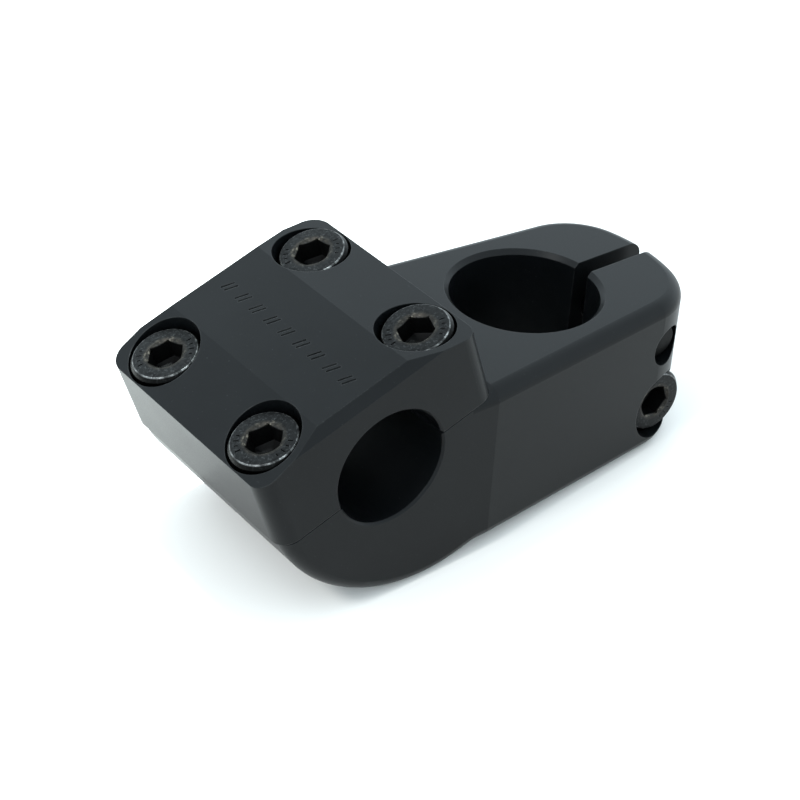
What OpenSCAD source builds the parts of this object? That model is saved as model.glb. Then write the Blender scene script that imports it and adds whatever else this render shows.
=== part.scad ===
// Top-load handlebar stem: one-piece body, bolted bar cap, four cap bolts, two pinch bolts.
// X runs along the handlebar, -Y points forward to the bar clamp, +Z runs up the steerer axis.
// The origin is the centre of the steerer clamp bore.

/* [Steerer clamp] */
// Bore radius for a 28.6 mm steerer tube (mm)
steerer_r = 14.3; // [12.7:0.05:19.1]
// Height of the steerer clamp, top face to bottom face (mm)
clamp_h = 32.7; // [26:0.5:44]
// Soft break on both rims of the steerer bore (mm)
steerer_rim = 0.9; // [0.2:0.1:1.5]
// Rearmost point of the rounded back, measured from the steerer axis (mm)
rear_reach = 31.4; // [28:0.1:36]
// Radius of the big arc across the back (mm)
rear_arc_r = 34; // [26:0.1:60]
// Radius of the two rear corners, seen from above (mm)
rear_corner_r = 14; // [8:0.5:17]
// Rounding of the top edge round the steerer clamp (mm)
top_round = 3; // [1:0.1:4]
// Rounding of the bottom edge round the whole body (mm)
bottom_round = 2.7; // [1:0.1:5]
// Angle at which each side narrows towards the back (deg)
taper_deg = 6.3; // [2:0.1:9]
// Width of the pinch slot at the back (mm)
slot_w = 3.7; // [1.5:0.1:5]

/* [Bar clamp] */
// Bore radius for a 22.2 mm handlebar (mm)
bar_r = 11.1; // [11.1:0.05:15.9]
// Horizontal distance from the steerer axis to the bar axis (mm)
reach = 48.8; // [40:0.1:60]
// Height of the bar axis above the middle of the steerer clamp (mm)
bar_rise = 9.15; // [0:0.1:30]
// Forward tilt of the cap and its split plane (deg)
cap_tilt = 19.3; // [0:0.1:30]
// Overall width across the bar clamp (mm)
body_w = 47.5; // [40:0.5:60]
// Distance of the split plane below the bar axis (mm)
split_drop = 0.75; // [0:0.05:2]
// Gap left between the cap and the body (mm)
split_gap = 0.2; // [0.1:0.1:3]
// Small break where the split meets the bar bore (mm)
split_break = 0.7; // [0.2:0.1:1.5]
// Break on the outer rims of the bar bore (mm)
bar_rim = 0.4; // [0.1:0.1:1]
// Radius of the round underside below the bar clamp (mm)
lobe_r = 32.2; // [28:0.1:40]
// Radius of the hollow between the lobe and the flat underside (mm)
blend_r = 11; // [4:0.5:20]

/* [Cap] */
// Cap edge in front of the bar axis, along the split (mm)
cap_front = 23.85; // [20:0.1:28]
// Cap edge behind the bar axis, along the split (mm)
cap_rear = 23.5; // [20:0.1:28]
// Height of the flat centre facet above the bar axis (mm)
facet_h = 17.65; // [15:0.1:22]
// Front crease, ahead of the bar axis (mm)
crease_front = 9.8; // [6:0.1:14]
// Rear crease, behind the bar axis (mm)
crease_rear = 9.5; // [6:0.1:14]
// Height of the front top edge above the bar axis (mm)
front_edge_h = 14; // [9:0.1:17]
// Height of the rear top edge above the bar axis (mm)
rear_edge_h = 14.1; // [9:0.1:17]
// Height where the side bevel starts above the bar axis (mm)
bevel_h = 16; // [12:0.1:20]
// Radius of the cap's front corners (mm)
corner_front_r = 3.4; // [1:0.1:7]
// Radius of the cap's rear corners (mm)
corner_rear_r = 3.4; // [0.5:0.1:5]

/* [Engraving] */
// Number of stroke pairs engraved along the centre facet
mark_count = 9; // [0:1:10]
// Distance between stroke pairs (mm)
mark_pitch = 4.4; // [3:0.1:5]
// Distance between the two strokes of a pair (mm)
mark_split = 1.12; // [0.8:0.02:2]
// Length of a stroke (mm)
mark_l = 2.6; // [1:0.1:5]
// Width of a stroke (mm)
mark_w = 0.4; // [0.2:0.05:1]
// Depth of a stroke (mm)
mark_depth = 0.25; // [0.1:0.05:0.5]

/* [Bolts] */
// Distance of the front cap bolts ahead of the bar axis (mm)
bolt_front = 16.6; // [14:0.1:20]
// Distance of the rear cap bolts behind the bar axis (mm)
bolt_rear = 16.25; // [14:0.1:20]
// Distance of the cap bolts either side of the centre line (mm)
bolt_x = 15.25; // [10:0.05:18]
// Height of the cap bolts' head tops above the bar axis (mm)
head_top_h = 15.55; // [12:0.05:20]
// Head radius of an M8 socket head bolt (mm)
head_r = 6.5; // [6:0.05:7]
// Head height of an M8 socket head bolt (mm)
head_h = 8; // [6:0.1:9]
// Width across the flats of the hex socket (mm)
hex_af = 6; // [5:0.1:6]
// Radius of the counterbores that take the heads (mm)
counterbore_r = 7; // [6.6:0.05:8]
// Length of a cap bolt under its head (mm)
cap_bolt_l = 20; // [16:1:30]
// Length of a pinch bolt under its head (mm)
pinch_bolt_l = 25; // [20:1:35]
// Distance of the pinch bolts behind the steerer axis (mm)
pinch_y = 21.3; // [19:0.1:24]
// Height of the upper pinch bolt above the clamp's middle (mm)
pinch_up = 6.3; // [4:0.1:12]
// Depth of the lower pinch bolt below the clamp's middle (mm)
pinch_low = 7.3; // [4:0.1:12]
// Distance of a pinch bolt head's seat from the centre line (mm)
pinch_seat = 9; // [5:0.1:12]

/* [Hidden] */
$fn = 96;
big = 120;
half_w = body_w / 2;
top_z = clamp_h / 2;
// the sides run straight beside the bar clamp and then narrow towards the back
taper_start_y = -25.5;
// oversizes on rounding cutters, so that no two faces are exactly tangent; neighbours take turns
skim_a = 0.012;
skim_b = 0.02;
bump = 0.02;
// how far cutters reach out past the faces they cut
spare = 2;
// how far a cutter runs on past a corner that turns inwards (mm and deg)
lap = 1.5;
lap_deg = 3;
// and past both ends of the hollow under the body (deg)
hollow_lap = 2.5;
// how far ahead of the taper the top edge's rounding starts, under the cap's corner
top_run = 6;
// how far ahead of the lobe's centre its rounding runs, as a turn round that centre (deg)
lobe_sweep = 130;
// how far behind the lobe's centre the clamp's block starts, inside the lobe
block_back = 6;
// the split plane's height in the tilted cap frame
split_z = -split_drop;
seat_z = head_top_h - head_h;
// the straight taper, as a line: x * cos + y * sin = taper_s
taper_s = half_w * cos(taper_deg) + taper_start_y * sin(taper_deg);
// the rear corner's centre touches both the taper and the back arc
rear_arc_y = rear_reach - rear_arc_r;
corner_s = taper_s - rear_corner_r;
corner_gap = rear_arc_r - rear_corner_r;
corner_h = rear_arc_y * sin(taper_deg);
corner_turn = acos((corner_s - corner_h) / corner_gap);
corner_a = taper_deg + corner_turn;
corner_x = corner_gap * cos(corner_a);
corner_y = rear_arc_y + corner_gap * sin(corner_a);
tangent_y = corner_y + rear_corner_r * sin(taper_deg);
// the lobe's centre, set so that it runs out at the cap's front edge
lobe_y = -40.9;
lobe_z = top_z - 3.1;
// the hollow's centre touches both the lobe and the flat underside
blend_z = -top_z - blend_r;
blend_drop = lobe_z - blend_z;
blend_y = lobe_y + sqrt(pow(lobe_r + blend_r, 2) - pow(blend_drop, 2));
blend_a = atan((blend_y - lobe_y) / blend_drop);
// bolt thread drawn as rings of the M8 coarse pitch
pitch = 1.25;
thread_r = 3.95;
root_r = 3.33;
tapped_r = 4.05;
clear_r = 4.4;
// the rear tapped holes are blind, and the front ones run out through the lobe
tapped_depth = 14.5;
through_depth = 26;
head_chamfer = 0.6;
// plain neck under a bolt's head, and the least plain end past its thread
neck_r = 3.9;
neck_l = 1.2;
tip_l = 1.3;
// where one thread ring's flanks start and end, as shares of the pitch
flank_in = [0.35, 0.5];
flank_out = [0.9, 1];
// the hex socket: depth to its floor, the drilled cone below the floor, the break at the mouth
socket_d = 4.2;
cone_h = 1.2;
cone_tip_r = 0.3;
cone_r = 2.8;
cone_over = 0.05;
mouth_d = 0.25;
mouth_r = hex_af / 2 + 0.3;
mark_slant = 24;
finish = [0.09, 0.09, 0.1];
steel = [0.2, 0.19, 0.18];
// how far each bolt's hex socket is turned, as the bolts happen to stand (deg)
turn_fl = 19;
turn_fr = 13;
turn_rl = 8;
turn_rr = 41;
turn_low = 20;
turn_up = 7;

// moves children into the tilted frame on the bar axis: local Y runs back, local Z out of the cap
module cap_frame() {
    translate([0, -reach, bar_rise])
        rotate([cap_tilt, 0, 0])
            children();
}

// the corner that a rounding cuts away, with the solid's corner at the origin
module corner_waste(r, skim) {
    difference() {
        translate([-r, -r])
            square(r + spare);
        translate([-r, -r])
            circle(r = r + skim);
    }
}

// rounding cutter along a straight edge that runs in +Y through the origin
module straight_waste(from, to, r, skim, flip) {
    mirror([0, 0, flip])
        rotate([90, 0, 0])
            translate([0, 0, -to])
                linear_extrude(to - from)
                    corner_waste(r, skim);
}

// rounding cutter round an arc of radius arc_r about the Z axis
module arc_waste(arc_r, r, skim, from, sweep, flip) {
    mirror([0, 0, flip])
        rotate([0, 0, from])
            rotate_extrude(angle = sweep)
                translate([arc_r, 0])
                    corner_waste(r, skim);
}

// the body seen from above
module plan_2d() {
    far = 3 * rear_corner_r;
    end_w = half_w - (big - taper_start_y) * tan(taper_deg);
    difference() {
        polygon([
            [half_w, -big],
            [half_w, taper_start_y],
            [end_w, big],
            [-end_w, big],
            [-half_w, taper_start_y],
            [-half_w, -big]
        ]);
        difference() {
            translate([-big, corner_y])
                square([2 * big, 2 * big]);
            translate([0, rear_arc_y])
                circle(r = rear_arc_r);
        }
        for (side = [0, 1])
            mirror([side, 0])
                translate([corner_x, corner_y])
                    difference() {
                        polygon([
                            [0, 0],
                            [far * cos(taper_deg), far * sin(taper_deg)],
                            [far, far],
                            [far * cos(corner_a), far * sin(corner_a)]
                        ]);
                        circle(r = rear_corner_r + bump);
                    }
    }
}

// the body seen from the side, drawn with Y to the right and Z up
module side_2d() {
    difference() {
        union() {
            translate([lobe_y, lobe_z])
                circle(r = lobe_r);
            translate([lobe_y + block_back, -top_z])
                square([big, clamp_h]);
            difference() {
                polygon([
                    [blend_y, -top_z],
                    [lobe_y + lobe_r * sin(blend_a) / 2, 0],
                    [lobe_y + lobe_r * sin(blend_a), lobe_z - lobe_r * cos(blend_a)]
                ]);
                translate([blend_y, blend_z])
                    circle(r = blend_r);
            }
        }
        translate([-big, top_z])
            square([2 * big, big]);
        translate([-reach, bar_rise])
            rotate(cap_tilt) {
                translate([-big, split_z - split_gap / 2])
                    square([2 * big, big]);
                translate([-cap_front - big, -big])
                    square([big, 2 * big]);
            }
    }
}

// roundings along the +X side of the flat top or underside
module side_waste(r, flip) {
    z = flip ? -top_z : top_z;
    front = flip ? blend_y : taper_start_y - top_run;
    taper_l = (tangent_y - taper_start_y) / cos(taper_deg);
    translate([half_w, front, z])
        straight_waste(0, taper_start_y - front + lap, r, skim_a, flip);
    translate([half_w, taper_start_y, z])
        rotate([0, 0, taper_deg])
            straight_waste(-lap, taper_l + lap, r, skim_b, flip);
    translate([corner_x, corner_y, z])
        arc_waste(rear_corner_r + bump, r, skim_a, taper_deg, corner_turn, flip);
}

// rounding round the back of the flat top or underside
module back_waste(r, flip) {
    sweep = 180 - 2 * corner_a + 2 * lap_deg;
    translate([0, rear_arc_y, flip ? -top_z : top_z])
        arc_waste(rear_arc_r, r, skim_b, corner_a - lap_deg, sweep, flip);
}

// roundings of the top edge, from the cap's rear edge round the back
module top_waste() {
    for (side = [0, 1])
        mirror([side, 0, 0])
            side_waste(top_round, 0);
    back_waste(top_round, 0);
}

// roundings of the bottom edge, of the hollow and of the lobe
module bottom_waste() {
    for (side = [0, 1])
        mirror([side, 0, 0]) {
            side_waste(bottom_round, 1);
            translate([half_w, blend_y, blend_z])
                rotate([0, 90, 0])
                    rotate([0, 0, 180 - hollow_lap])
                        rotate_extrude(angle = blend_a + 2 * hollow_lap)
                            translate([blend_r, 0])
                                mirror([1, 0])
                                    corner_waste(bottom_round, skim_b);
            translate([half_w, lobe_y, lobe_z])
                rotate([0, 90, 0])
                    arc_waste(lobe_r, bottom_round, skim_a, blend_a, -lobe_sweep, 0);
        }
    back_waste(bottom_round, 1);
}

// a bore along X with broken outer rims
module bar_bore() {
    rotate([0, 90, 0]) {
        cylinder(r = bar_r, h = 2 * big, center = true, $fn = 180);
        for (side = [0, 1])
            mirror([0, 0, side])
                translate([0, 0, half_w - bar_rim])
                    cylinder(r1 = bar_r, r2 = bar_r + spare, h = spare, $fn = 180);
    }
}

// the small breaks where the split opens into the bar bore
module split_breaks() {
    for (side = [-1, 1])
        translate([-big, side * bar_r, split_z])
            rotate([45, 0, 0])
                translate([0, -split_break / 2, -split_break / 2])
                    cube([2 * big, split_break, split_break]);
}

// puts children at the four cap bolt places, in the cap frame
module cap_bolt_places() {
    for (side = [-1, 1])
        for (y = [-bolt_front, bolt_rear])
            translate([side * bolt_x, y, 0])
                children();
}

module body_blank() {
    intersection() {
        translate([-half_w - spare, 0, 0])
            rotate([90, 0, 90])
                linear_extrude(body_w + 2 * spare)
                    side_2d();
        translate([0, 0, -big / 2])
            linear_extrude(big)
                plan_2d();
    }
}

// one pinch bolt's stepped hole, with the head on the +X side
module pinch_hole() {
    far = half_w + 2 * spare;
    rotate([0, 90, 0])
        rotate_extrude()
            polygon([
                [0, -far],
                [tapped_r, -far],
                [tapped_r, 0],
                [clear_r, 0],
                [clear_r, pinch_seat],
                [counterbore_r, pinch_seat],
                [counterbore_r, far],
                [0, far]
            ]);
}

module body() {
    color(finish)
        difference() {
            body_blank();
            top_waste();
            bottom_waste();
            cylinder(r = steerer_r, h = big, center = true, $fn = 180);
            for (end = [0, 1])
                mirror([0, 0, end])
                    translate([0, 0, top_z - steerer_rim])
                        cylinder(r1 = steerer_r, r2 = steerer_r + spare, h = spare, $fn = 180);
            translate([-slot_w / 2, steerer_r / 2, -big / 2])
                cube([slot_w, big, big]);
            translate([0, pinch_y, -pinch_low])
                pinch_hole();
            translate([0, pinch_y, pinch_up])
                mirror([1, 0, 0])
                    pinch_hole();
            cap_frame() {
                bar_bore();
                split_breaks();
                for (hole = [[-bolt_front, through_depth], [bolt_rear, tapped_depth]])
                    for (side = [-1, 1])
                        translate([side * bolt_x, hole[0], split_z - hole[1]])
                            cylinder(r = tapped_r, h = 2 * hole[1]);
            }
        }
}

// the cap seen along the bar, drawn with local Y to the right and local Z up
module cap_side_2d() {
    low = split_z + split_gap / 2;
    polygon([
        [-cap_front, low],
        [cap_rear, low],
        [cap_rear, rear_edge_h],
        [crease_rear, facet_h],
        [-crease_front, facet_h],
        [-cap_front, front_edge_h]
    ]);
}

// the cap seen square on, with its rounded corners
module cap_plan_2d() {
    for (side = [-1, 1]) {
        translate([side * (half_w - corner_front_r), corner_front_r - cap_front])
            circle(r = corner_front_r);
        translate([side * (half_w - corner_rear_r), cap_rear - corner_rear_r])
            circle(r = corner_rear_r);
    }
    polygon([
        [-half_w, corner_front_r - cap_front],
        [corner_front_r - half_w, -cap_front],
        [half_w - corner_front_r, -cap_front],
        [half_w, corner_front_r - cap_front],
        [half_w, cap_rear - corner_rear_r],
        [half_w - corner_rear_r, cap_rear],
        [corner_rear_r - half_w, cap_rear],
        [-half_w, cap_rear - corner_rear_r]
    ]);
}

// a plain row of slanted stroke pairs sunk into the centre facet
module engraving() {
    for (i = [0 : mark_count - 1])
        for (side = [-1, 1])
            translate([(i - (mark_count - 1) / 2) * mark_pitch + side * mark_split / 2, 0, facet_h])
                rotate([0, 0, -mark_slant])
                    translate([-mark_w / 2, -mark_l / 2, -mark_depth])
                        cube([mark_w, mark_l, spare]);
}

module top_cap() {
    color(finish)
        cap_frame()
            difference() {
                intersection() {
                    translate([-half_w - spare, 0, 0])
                        rotate([90, 0, 90])
                            linear_extrude(body_w + 2 * spare)
                                cap_side_2d();
                    translate([0, 0, -big / 2])
                        linear_extrude(big)
                            cap_plan_2d();
                }
                for (side = [0, 1])
                    mirror([side, 0, 0])
                        translate([half_w, 0, bevel_h])
                            rotate([0, -45, 0])
                                translate([0, -big / 2, 0])
                                    cube([big, big, big]);
                engraving();
                bar_bore();
                split_breaks();
                cap_bolt_places() {
                    cylinder(r = clear_r, h = big, center = true);
                    translate([0, 0, seat_z])
                        cylinder(r = counterbore_r, h = big);
                }
            }
}

// an M8 socket head bolt with its head's seat at the origin and the head towards +Z
module socket_bolt(len, turn) {
    rings = floor((len - neck_l - tip_l) / pitch);
    color(steel)
        difference() {
            rotate_extrude()
                polygon(concat(
                    [
                        [0, head_h],
                        [head_r - head_chamfer, head_h],
                        [head_r, head_h - head_chamfer],
                        [head_r, 0],
                        [neck_r, 0],
                        [neck_r, -neck_l]
                    ],
                    [for (i = [0 : rings - 1]) each [
                        [root_r, -neck_l - (i + flank_in[0]) * pitch],
                        [root_r, -neck_l - (i + flank_in[1]) * pitch],
                        [thread_r, -neck_l - (i + flank_out[0]) * pitch],
                        [thread_r, -neck_l - (i + flank_out[1]) * pitch]
                    ]],
                    [[root_r, -len], [0, -len]]
                ));
            rotate([0, 0, turn])
                translate([0, 0, head_h - socket_d])
                    cylinder(r = hex_af / 2 / cos(30), h = head_h, $fn = 6);
            translate([0, 0, head_h - socket_d - cone_h])
                cylinder(r1 = cone_tip_r, r2 = cone_r, h = cone_h + cone_over);
            translate([0, 0, head_h - mouth_d])
                cylinder(r1 = mouth_r - mouth_d, r2 = mouth_r + mouth_d, h = 2 * mouth_d);
        }
}

module cap_bolt_at(x, y, turn) {
    cap_frame()
        translate([x, y, seat_z])
            socket_bolt(cap_bolt_l, turn);
}

module cap_bolt_front_left() {
    cap_bolt_at(-bolt_x, -bolt_front, turn_fl);
}

module cap_bolt_front_right() {
    cap_bolt_at(bolt_x, -bolt_front, turn_fr);
}

module cap_bolt_rear_left() {
    cap_bolt_at(-bolt_x, bolt_rear, turn_rl);
}

module cap_bolt_rear_right() {
    cap_bolt_at(bolt_x, bolt_rear, turn_rr);
}

module pinch_bolt_upper() {
    translate([-pinch_seat, pinch_y, pinch_up])
        rotate([0, -90, 0])
            socket_bolt(pinch_bolt_l, turn_up);
}

module pinch_bolt_lower() {
    translate([pinch_seat, pinch_y, -pinch_low])
        rotate([0, 90, 0])
            socket_bolt(pinch_bolt_l, turn_low);
}

body();
top_cap();
cap_bolt_front_left();
cap_bolt_front_right();
cap_bolt_rear_left();
cap_bolt_rear_right();
pinch_bolt_upper();
pinch_bolt_lower();
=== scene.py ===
"""Looks of the top-load handlebar stem: camera, light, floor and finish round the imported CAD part."""
import math
import random

import bmesh
import bpy
from mathutils import Matrix, Vector


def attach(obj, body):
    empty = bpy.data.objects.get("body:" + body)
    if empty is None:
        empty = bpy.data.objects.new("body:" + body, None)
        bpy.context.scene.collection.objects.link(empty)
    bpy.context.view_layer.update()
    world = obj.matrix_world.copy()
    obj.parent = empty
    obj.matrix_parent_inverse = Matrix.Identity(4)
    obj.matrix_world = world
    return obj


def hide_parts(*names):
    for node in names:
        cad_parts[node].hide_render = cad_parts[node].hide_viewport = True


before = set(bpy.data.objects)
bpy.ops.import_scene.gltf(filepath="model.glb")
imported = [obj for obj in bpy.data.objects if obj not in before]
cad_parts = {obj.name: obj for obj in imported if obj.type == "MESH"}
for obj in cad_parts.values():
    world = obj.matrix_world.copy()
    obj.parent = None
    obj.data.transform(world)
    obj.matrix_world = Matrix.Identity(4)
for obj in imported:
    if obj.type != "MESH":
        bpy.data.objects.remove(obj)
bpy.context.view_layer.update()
MM = 0.001

# Camera: where it stands, the point it looks at, its turn about its own axis and its lens.
CAMERA_AT = Vector((0.25215, -0.23583, 0.22479))
LOOK_AT = Vector((0.0, -0.02849, 0.00185))
CAMERA_ROLL = math.radians(3.696)
LENS_MM = 96.57
SENSOR_MM = 36.0
CLIP = (0.01, 20.0)

# The stem lies on its lobe and on its rear bottom edge, so the floor is tilted under it.
FLOOR_TILT = math.radians(2.157)
FLOOR_DROP = -17.433 * MM
FLOOR_HALF = 4.0

# Room light.
ROOM_COLOUR = (0.87, 1.0, 1.07, 1.0)
ROOM_STRENGTH = 1.9

# Lights: name, place, target, cone in degrees, watts, radius and colour.
LIGHTS = [
    # a soft pool of light on the floor ahead of the cap, mirrored in its front face
    ("floor_pool", (-0.17, -0.10, 0.9), (-0.17, -0.10, -0.02), 24.0, 135.0, 0.05, (0.88, 1.0, 1.0)),
    # a weak light from the front, for the floor under the lobe and the glints on the bolt heads
    ("front_fill", (0.08, -0.75, 0.75), (0.0, -0.09, -0.02), 30.0, 18.0, 0.1, (1.0, 1.0, 0.98)),
]

# Bolt sizes, the same as the CAD part's.
HEAD_R = 6.5 * MM
HEAD_H = 8.0 * MM
FACE_R = 5.95 * MM
CHAMFER_H = 0.75 * MM
HEX_AF = 6.0 * MM
SOCKET_D = 4.2 * MM
CAP_BOLT_L = 20.0 * MM
PINCH_BOLT_L = 25.0 * MM
PITCH = 1.25 * MM
THREAD_R = 3.95 * MM
ROOT_R = 3.33 * MM
SHANK_R = 3.9 * MM

# The cap's frame on the handlebar axis, and the bolts' places in it.
BAR_AXIS = Vector((0.0, -48.8 * MM, 9.15 * MM))
CAP_TILT = math.radians(19.3)
BOLT_X = 15.25 * MM
BOLT_FRONT = -16.6 * MM
BOLT_REAR = 16.25 * MM
SEAT_Z = 7.55 * MM
PINCH_SEAT = 9.0 * MM
PINCH_Y = 21.3 * MM
PINCH_UP = 6.3 * MM
PINCH_LOW = -7.3 * MM

# Details of the bolt, from the socket outwards and down to the tip.
CONE_D = 1.1 * MM
MOUTH_WIDE = 0.62 * MM
MOUTH_SLOPE = 0.75
MOUTH_STEP = 0.12 * MM
MOUTH_EDGE = 0.15 * MM
FACE_EDGE = 0.18 * MM
RIM_SOFT = 0.14 * MM
RIM_LEANS = (15, 45)
CHAMFER_IN = 0.12 * MM
CHAMFER_HALF = 0.1 * MM
KNURL_D = 0.05 * MM
KNURL_TOP = 1.1 * MM
KNURL_BOTTOM = 0.5 * MM
FOOT_H = 0.3 * MM
FOOT_IN = 0.03 * MM
FOOT_CHAMFER = 0.25 * MM
NECK = 0.25 * MM
SHANK_END = 1.2 * MM
THREAD_START = 1.4 * MM
THREAD_STEEP = 2.6
THREAD_FLAT = 0.65
TIP_FADE = 0.001
SMOOTH_BELOW = math.radians(32)

# Raised ticks on the head's face: two groups of short and long ones.
TICKS = 4
TICK_R = 4.8 * MM
TICK_STEP = 0.25
TICK_WANDER = 0.5
TICK_SHORT = 0.36 * MM
TICK_LONG = 0.55 * MM
TICK_WIDE = 0.15 * MM
TICK_HIGH = 0.045 * MM
TICK_DRAFT = 0.75

# Corners round a bolt, and rows in one turn of its thread.
AROUND = 96
THREAD_ROWS = 6

# Scales of the noises, in repeats per metre.
CLOUD, GRAIN, DUST, PATCHES = 70.0, 5200.0, 2600.0, 420.0
OXIDE, OXIDE_FINE, SCUFFS, BARE = 900.0, 4200.0, 2300.0, 700.0
PAPER = 9.0

# Radii between which each band of the bolt's head fades in.
RIM_IN = (5.78 * MM, 5.88 * MM)
RIM_OUT = (6.08 * MM, 5.98 * MM)
CHAMFER_BAND = (5.98 * MM, 6.1 * MM)
MOUTH_OUT = (4.15 * MM, 3.6 * MM)
MOUTH_IN = (2.9 * MM, 3.2 * MM)
SOCKET_IN = (3.75 * MM, 3.55 * MM)

# Heights between which the top of the head, its ticks and its socket fade in.
TOP_BAND = (HEAD_H - 0.9 * MM, HEAD_H - 0.6 * MM)
TICK_BAND = (HEAD_H + 0.004 * MM, HEAD_H + 0.012 * MM)
SOCKET_BAND = (HEAD_H - 0.35 * MM, HEAD_H - 0.7 * MM)

# Anodised aluminium: colours, edge rounding, edge wear with a painted highlight on the edges, grain.
ANODISED_DARK = (0.0016, 0.0020, 0.0024)
ANODISED_LIGHT = (0.0026, 0.0031, 0.0036)
ANODISED_DUST = (0.03, 0.033, 0.033)
# lighter colour of the edges: partly wear, partly a painted highlight
ANODISED_EDGE_WEAR_AND_HIGHLIGHT = (0.022, 0.0233, 0.0233)
ANODISED_IOR = 1.235
EDGE_ROUND = 0.22 * MM
EDGE_WEAR_AND_HIGHLIGHT = 0.45 * MM
EDGE_REACH = 0.25
GRAIN_H = 0.012 * MM

# Black oxide steel: colours, edge rounding, grain.
OXIDE_DARK = (0.0042, 0.0044, 0.0046)
OXIDE_LIGHT = (0.0125, 0.013, 0.0132)
OXIDE_SCUFF = (0.085, 0.088, 0.09)
OXIDE_TAN = (0.030, 0.027, 0.023)
OXIDE_BARE = (0.2, 0.18, 0.145)
OXIDE_CHAMFER = (0.004, 0.004, 0.0038)
OXIDE_WORN = (0.42, 0.425, 0.42)
# near black on the ticks: painted shade, as in engraved marks
OXIDE_TICK_PAINTED_SHADE = (0.0006, 0.0006, 0.0006)
OXIDE_SOCKET = (0.006, 0.006, 0.006)
OXIDE_IOR = 1.25
OXIDE_ROUND = 0.12 * MM
OXIDE_GRAIN_H = 0.015 * MM

# Floor.
PAPER_DARK = (0.752, 0.728, 0.702)
PAPER_LIGHT = (0.762, 0.738, 0.712)
PAPER_ROUGH = 0.95
PAPER_SHINE = 0.1


# ---------------------------------------------------------------- nodes

class Nodes:
    """Short names for building a node tree."""

    def __init__(self, name):
        self.material = bpy.data.materials.new(name)
        self.material.use_nodes = True
        self.tree = self.material.node_tree
        self.tree.nodes.clear()
        out = self.tree.nodes.new("ShaderNodeOutputMaterial")
        self.shader = self.tree.nodes.new("ShaderNodeBsdfPrincipled")
        self.link(self.shader.outputs[0], out.inputs[0])
        self.coords = self.tree.nodes.new("ShaderNodeTexCoord").outputs["Object"]

    def link(self, a, b):
        self.tree.links.new(a, b)

    def noise(self, scale, detail=3.0, rough=0.5):
        n = self.tree.nodes.new("ShaderNodeTexNoise")
        n.inputs["Scale"].default_value = scale
        n.inputs["Detail"].default_value = detail
        n.inputs["Roughness"].default_value = rough
        self.link(self.coords, n.inputs["Vector"])
        return n.outputs["Fac"]

    def span(self, value, lo, hi, to_lo=0.0, to_hi=1.0):
        n = self.tree.nodes.new("ShaderNodeMapRange")
        n.inputs["From Min"].default_value = lo
        n.inputs["From Max"].default_value = hi
        n.inputs["To Min"].default_value = to_lo
        n.inputs["To Max"].default_value = to_hi
        self.link(value, n.inputs["Value"])
        return n.outputs["Result"]

    def math(self, op, a, b=0.0):
        n = self.tree.nodes.new("ShaderNodeMath")
        n.operation = op
        for socket, value in zip(n.inputs, (a, b)):
            if isinstance(value, float):
                socket.default_value = value
            else:
                self.link(value, socket)
        return n.outputs[0]

    def times(self, first, *rest):
        for factor in rest:
            first = self.math("MULTIPLY", first, factor)
        return first

    def mix(self, factor, a, b):
        """From a, a colour or a socket, to the colour b."""
        n = self.tree.nodes.new("ShaderNodeMix")
        n.data_type = "RGBA"
        self.link(factor, n.inputs["Factor"])
        from_a, to_b = [s for s in n.inputs if s.type == "RGBA"]
        if isinstance(a, tuple):
            from_a.default_value = (*a, 1.0)
        else:
            self.link(a, from_a)
        to_b.default_value = (*b, 1.0)
        return [s for s in n.outputs if s.type == "RGBA"][0]

    def bevel(self, radius):
        n = self.tree.nodes.new("ShaderNodeBevel")
        n.samples = 6
        n.inputs["Radius"].default_value = radius
        return n.outputs["Normal"]

    def edges(self, radius, reach):
        """1 on sharp edges and 0 on flats: how far the rounded normal leans from the face's own."""
        geometry = self.tree.nodes.new("ShaderNodeNewGeometry")
        dot = self.tree.nodes.new("ShaderNodeVectorMath")
        dot.operation = "DOT_PRODUCT"
        self.link(self.bevel(radius), dot.inputs[0])
        self.link(geometry.outputs["Normal"], dot.inputs[1])
        return self.span(dot.outputs["Value"], 1.0 - reach * 0.15, 1.0 - reach)

    def bump(self, height, distance, strength, normal):
        n = self.tree.nodes.new("ShaderNodeBump")
        n.inputs["Strength"].default_value = strength
        n.inputs["Distance"].default_value = distance
        self.link(height, n.inputs["Height"])
        self.link(normal, n.inputs["Normal"])
        return n.outputs["Normal"]

    def set(self, **values):
        for key, value in values.items():
            socket = self.shader.inputs[key.replace("_", " ")]
            if isinstance(value, float):
                socket.default_value = value
            else:
                self.link(value, socket)
        return self.material


def anodised():
    """Blasted and black anodised aluminium: a fine grain, faint clouding and softly broken edges, lightened
    partly as wear and partly as a painted highlight.
    """
    n = Nodes("anodised_black")
    cloud = n.noise(CLOUD, detail=4.0, rough=0.6)
    grain = n.noise(GRAIN, detail=2.0, rough=0.6)
    specks = n.span(n.noise(DUST, detail=1.0), 0.74, 0.80)
    colour = n.mix(n.span(cloud, 0.3, 0.7), ANODISED_DARK, ANODISED_LIGHT)
    colour = n.mix(n.times(specks, 0.5), colour, ANODISED_DUST)
    patches = n.span(n.noise(PATCHES, detail=4.0, rough=0.7), 0.4, 0.65, 0.3, 1.0)
    # edges lightened in patches: partly wear, partly a painted highlight where edges would catch the light
    rubbed = n.times(n.edges(EDGE_WEAR_AND_HIGHLIGHT, EDGE_REACH), patches)
    colour = n.mix(rubbed, colour, ANODISED_EDGE_WEAR_AND_HIGHLIGHT)
    rough = n.math("ADD", n.span(cloud, 0.3, 0.7, 0.33, 0.36), n.span(grain, 0.3, 0.7, -0.03, 0.03))
    normal = n.bump(grain, GRAIN_H, 0.6, n.bevel(EDGE_ROUND))
    return n.set(Base_Color=colour, Roughness=rough, Normal=normal, IOR=ANODISED_IOR)


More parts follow.
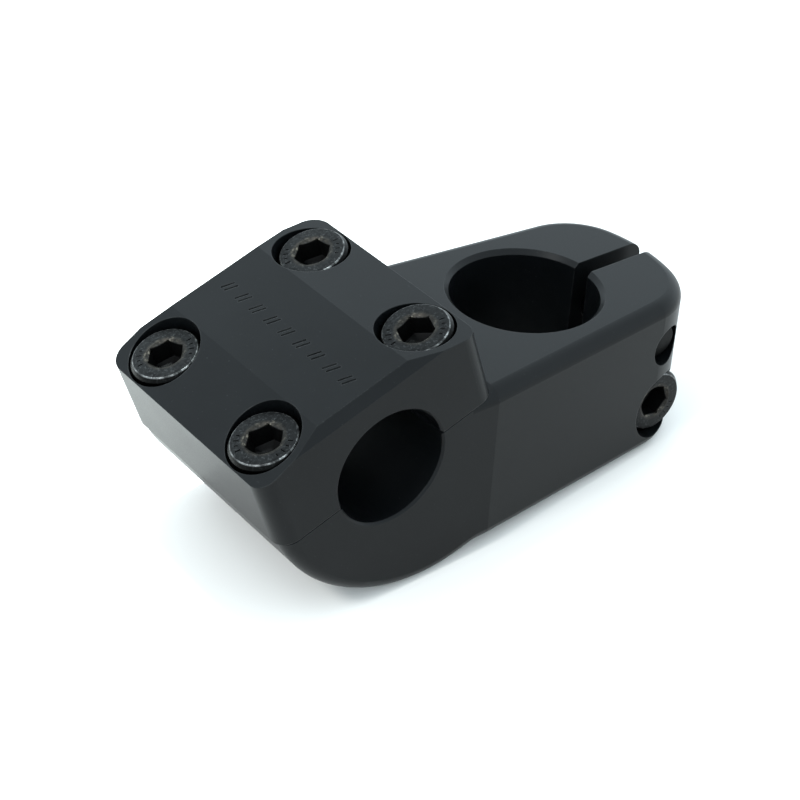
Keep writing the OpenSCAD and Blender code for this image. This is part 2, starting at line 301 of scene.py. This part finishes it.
def black_steel():
    """Black oxide steel, rubbed to grey on the rims, the socket's edge and the top of the head; the ticks
    are painted dark as shade.
    """
    n = Nodes("black_oxide_steel")
    split = n.tree.nodes.new("ShaderNodeSeparateXYZ")
    n.link(n.coords, split.inputs[0])
    x, y, z = split.outputs
    radius = n.math("SQRT", n.math("ADD", n.times(x, x), n.times(y, y)))
    # bands of the head: the rim of its face, the chamfer outside it, the socket's mouth, the ticks (painted
    # dark as shade)
    rim = n.times(n.span(radius, *RIM_IN), n.span(radius, *RIM_OUT))
    chamfer = n.span(radius, *CHAMFER_BAND)
    mouth = n.times(n.span(radius, *MOUTH_OUT), n.span(radius, *MOUTH_IN))
    inside = n.times(n.span(radius, *SOCKET_IN), n.span(z, *SOCKET_BAND))
    on_top = n.span(z, *TOP_BAND)
    tick_painted_shade = n.span(z, *TICK_BAND)
    # what has happened to the oxide: patches, scuffs, a tan mouth with bare metal, a worn rim
    patchy = n.noise(OXIDE, detail=5.0, rough=0.7)
    fine = n.noise(OXIDE_FINE, detail=2.0, rough=0.6)
    scuffs = n.span(n.noise(SCUFFS, detail=3.0, rough=0.75), 0.55, 0.66)
    worn = n.times(rim, n.span(patchy, 0.42, 0.62, 0.15, 1.0), n.span(scuffs, 0.0, 1.0, 0.4, 1.0), on_top)
    tan = n.times(mouth, on_top, n.span(patchy, 0.35, 0.6, 0.2, 0.9))
    rubbed = n.times(scuffs, on_top, 0.4)
    bare = n.span(n.noise(BARE, detail=3.0, rough=0.7), 0.52, 0.64)
    bare = n.times(bare, tan, n.span(fine, 0.45, 0.6, 0.15, 1.0))
    colour = n.mix(n.span(patchy, 0.36, 0.64), OXIDE_DARK, OXIDE_LIGHT)
    for mask, over in (
        (rubbed, OXIDE_SCUFF),
        (tan, OXIDE_TAN),
        (bare, OXIDE_BARE),
        (n.times(chamfer, 0.8), OXIDE_CHAMFER),
        (worn, OXIDE_WORN),
        (tick_painted_shade, OXIDE_TICK_PAINTED_SHADE),
        (inside, OXIDE_SOCKET),
    ):
        colour = n.mix(mask, colour, over)
    # fully metallic on the chamfer and on the ticks; on the ticks this deepens their painted shade
    metal = n.math("ADD", n.times(n.math("MAXIMUM", tick_painted_shade, chamfer), 0.3), 0.7)
    rough = n.math("ADD", n.span(patchy, 0.3, 0.7, 0.36, 0.5), n.span(fine, 0.3, 0.7, -0.04, 0.04))
    normal = n.bump(fine, OXIDE_GRAIN_H, 0.5, n.bevel(OXIDE_ROUND))
    return n.set(Base_Color=colour, Roughness=rough, Metallic=metal, Normal=normal, IOR=OXIDE_IOR)


def paper_white():
    """The plain pale sweep that the stem lies on."""
    n = Nodes("pale_floor")
    colour = n.mix(n.noise(PAPER), PAPER_DARK, PAPER_LIGHT)
    return n.set(Base_Color=colour, Roughness=PAPER_ROUGH, Specular_IOR_Level=PAPER_SHINE)


# ---------------------------------------------------------------- bolts

def hex_radius(angle):
    """Distance from the axis to the socket's wall, in the direction of angle."""
    side = math.pi / 3
    off = (angle % side) - side / 2
    return HEX_AF / 2 / math.cos(off)


def ring(bm, radius_at, height_at):
    """One ring of corners; both arguments are functions of the angle."""
    made = []
    for i in range(AROUND):
        a = 2 * math.pi * i / AROUND
        r = radius_at(a)
        made.append(bm.verts.new((r * math.cos(a), r * math.sin(a), height_at(a))))
    return made


def skin(bm, rings):
    """Faces between rings, in order from the socket out over the head and down to the tip."""
    for low, high in zip(rings[1:], rings):
        for i in range(AROUND):
            j = (i + 1) % AROUND
            bm.faces.new((low[i], low[j], high[j], high[i]))


def fan(bm, loop, height, up):
    """Close a ring to a point on the axis."""
    tip = bm.verts.new((0.0, 0.0, height))
    for i in range(AROUND):
        j = (i + 1) % AROUND
        bm.faces.new((loop[i], loop[j], tip) if up else (loop[j], loop[i], tip))


def thread_radius(height, angle):
    """Radius of a right-hand thread with flat crests and roots."""
    phase = (height / PITCH - angle / (2 * math.pi)) % 1.0
    ramp = min(1.0, max(0.0, THREAD_STEEP * abs(phase - 0.5) * 2 - THREAD_FLAT))
    return ROOT_R + (THREAD_R - ROOT_R) * ramp


def head_rings(bm):
    """The head from the bottom of the socket, up over the mouth and down to the seat."""
    mouth_r = HEX_AF / 2 + MOUTH_WIDE
    flat = lambda h: (lambda a: h)
    circle = lambda r: (lambda a: r)
    sink = lambda a: HEAD_H - (mouth_r - min(hex_radius(a), mouth_r)) * MOUTH_SLOPE
    knurl = lambda a: HEAD_R - KNURL_D * (0.5 + 0.5 * math.cos(a * AROUND / 2))
    profile = [
        (hex_radius, flat(HEAD_H - SOCKET_D)),
        (hex_radius, lambda a: sink(a) - MOUTH_STEP),
        (hex_radius, sink),
        (circle(mouth_r), flat(HEAD_H)),
        (circle(mouth_r + MOUTH_EDGE), flat(HEAD_H)),
        (circle(FACE_R - FACE_EDGE), flat(HEAD_H)),
    ]
    # the face's rim and the chamfer outside it, then the side with a shallow knurl
    for lean in RIM_LEANS:
        t = math.radians(lean)
        r = FACE_R - RIM_SOFT + RIM_SOFT * math.sin(t)
        profile.append((circle(r), flat(HEAD_H - RIM_SOFT + RIM_SOFT * math.cos(t))))
    profile += [
        (circle(HEAD_R - CHAMFER_IN), flat(HEAD_H - CHAMFER_H + CHAMFER_HALF)),
        (circle(HEAD_R), flat(HEAD_H - CHAMFER_H - CHAMFER_HALF)),
        (knurl, flat(HEAD_H - KNURL_TOP)),
        (knurl, flat(KNURL_BOTTOM)),
        (circle(HEAD_R - FOOT_IN), flat(FOOT_H)),
        (circle(HEAD_R - FOOT_CHAMFER), flat(0.0)),
        (circle(SHANK_R + NECK), flat(0.0)),
        (circle(SHANK_R), flat(-NECK)),
        (circle(SHANK_R), flat(-SHANK_END)),
    ]
    return [ring(bm, radius_at, height_at) for radius_at, height_at in profile]


def marks(bm, seed):
    """Two groups of small raised ticks on the head's face, as forging marks without any lettering."""
    rng = random.Random(seed)
    for group in (0.0, math.pi):
        start = group + rng.uniform(-TICK_WANDER, TICK_WANDER)
        for k in range(TICKS):
            half = Vector((TICK_LONG if k % 2 else TICK_SHORT, TICK_WIDE, TICK_HIGH))
            spot = Matrix.Rotation(start + k * TICK_STEP, 4, "Z") @ Matrix.Translation((TICK_R, 0.0, HEAD_H))
            for v in bmesh.ops.create_cube(bm, size=2.0)["verts"]:
                shrink = TICK_DRAFT if v.co.z > 0 else 1.0
                v.co = spot @ Vector((v.co.x * half.x * shrink, v.co.y * half.y * shrink, v.co.z * half.z))


def bolt_mesh(name, length, seed):
    """A socket head bolt with its seat at the origin: hex socket, rounded rim, real helical thread."""
    bm = bmesh.new()
    rings = head_rings(bm)
    fan(bm, rings[0], HEAD_H - SOCKET_D - CONE_D, True)
    run = length - THREAD_START
    rows = int(run / PITCH * THREAD_ROWS)
    for k in range(rows + 1):
        h = -THREAD_START - run * k / rows
        fade = min(1.0, k / THREAD_ROWS, (rows - k) / THREAD_ROWS + TIP_FADE)
        radius_at = lambda a: ROOT_R + (thread_radius(h, a) - ROOT_R) * fade
        rings.append(ring(bm, radius_at, lambda a: h))
    skin(bm, rings)
    fan(bm, rings[-1], -length, False)
    marks(bm, seed)
    bmesh.ops.recalc_face_normals(bm, faces=bm.faces)
    mesh = bpy.data.meshes.new(name)
    bm.to_mesh(mesh)
    bm.free()
    mesh.polygons.foreach_set("use_smooth", [True] * len(mesh.polygons))
    mesh.set_sharp_from_angle(angle=SMOOTH_BELOW)
    return mesh


def cap_spot(x, y):
    """Place of a cap bolt: its seat, with its axis out of the cap."""
    tilt = Matrix.Translation(BAR_AXIS) @ Matrix.Rotation(CAP_TILT, 4, "X")
    return tilt @ Matrix.Translation((x, y, SEAT_Z))


def pinch_spot(side, z):
    """Place of a pinch bolt whose head is on the given side."""
    seat = Matrix.Translation((side * PINCH_SEAT, PINCH_Y, z))
    return seat @ Matrix.Rotation(side * math.pi / 2, 4, "Y")


BOLTS = [
    # CAD node, body, place, length, turn of the socket in degrees
    ("cap_bolt_front_left", "bolt_front_left", cap_spot(-BOLT_X, BOLT_FRONT), CAP_BOLT_L, 19),
    ("cap_bolt_front_right", "bolt_front_right", cap_spot(BOLT_X, BOLT_FRONT), CAP_BOLT_L, 13),
    ("cap_bolt_rear_left", "bolt_rear_left", cap_spot(-BOLT_X, BOLT_REAR), CAP_BOLT_L, 8),
    ("cap_bolt_rear_right", "bolt_rear_right", cap_spot(BOLT_X, BOLT_REAR), CAP_BOLT_L, 41),
    ("pinch_bolt_upper", "pinch_upper", pinch_spot(-1, PINCH_UP), PINCH_BOLT_L, 7),
    ("pinch_bolt_lower", "pinch_lower", pinch_spot(1, PINCH_LOW), PINCH_BOLT_L, 20),
]


def add_bolts(material):
    for seed, (node, body, spot, length, turn) in enumerate(BOLTS):
        piece = bpy.data.objects.new(node + "_detailed", bolt_mesh(node, length, seed))
        bpy.context.scene.collection.objects.link(piece)
        piece.matrix_world = spot @ Matrix.Rotation(math.radians(turn), 4, "Z")
        piece.data.materials.append(material)
        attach(piece, body)
        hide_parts(node)


# ---------------------------------------------------------------- scene

def finish_cad(material):
    """The body and the cap keep their CAD shape and take the anodised finish."""
    for name in ("body", "top_cap"):
        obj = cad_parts[name]
        obj.data.materials.clear()
        obj.data.materials.append(material)


def add_floor(material):
    mesh = bpy.data.meshes.new("floor")
    h = FLOOR_HALF
    mesh.from_pydata([(-h, -h, 0), (h, -h, 0), (h, h, 0), (-h, h, 0)], [], [(0, 1, 2, 3)])
    floor = bpy.data.objects.new("floor", mesh)
    bpy.context.scene.collection.objects.link(floor)
    floor.matrix_world = Matrix.Translation((0, 0, FLOOR_DROP)) @ Matrix.Rotation(FLOOR_TILT, 4, "X")
    mesh.materials.append(material)


def add_world():
    """A bright white room, a touch cool."""
    world = bpy.data.worlds.new("studio")
    bpy.context.scene.world = world
    world.use_nodes = True
    back = world.node_tree.nodes["Background"]
    back.inputs["Color"].default_value = ROOM_COLOUR
    back.inputs["Strength"].default_value = ROOM_STRENGTH


def add_spot(name, at, target, spread, power, radius, colour):
    light = bpy.data.lights.new(name, "SPOT")
    light.spot_size = math.radians(spread)
    light.spot_blend = 1.0
    light.shadow_soft_size = radius
    light.energy = power
    light.color = colour
    obj = bpy.data.objects.new(name, light)
    obj.location = at
    obj.rotation_mode = "QUATERNION"
    obj.rotation_quaternion = (Vector(target) - Vector(at)).to_track_quat("-Z", "Y")
    bpy.context.scene.collection.objects.link(obj)


def add_camera():
    cam = bpy.data.cameras.new("camera")
    cam.lens = LENS_MM
    cam.sensor_width = SENSOR_MM
    cam.clip_start, cam.clip_end = CLIP
    obj = bpy.data.objects.new("camera", cam)
    bpy.context.scene.collection.objects.link(obj)
    aim = (LOOK_AT - CAMERA_AT).to_track_quat("-Z", "Y").to_matrix().to_4x4()
    obj.matrix_world = Matrix.Translation(CAMERA_AT) @ aim @ Matrix.Rotation(CAMERA_ROLL, 4, "Z")
    bpy.context.scene.camera = obj


bpy.context.scene.view_settings.view_transform = "Standard"
finish_cad(anodised())
add_bolts(black_steel())
add_floor(paper_white())
add_world()
for light in LIGHTS:
    add_spot(*light)
add_camera()
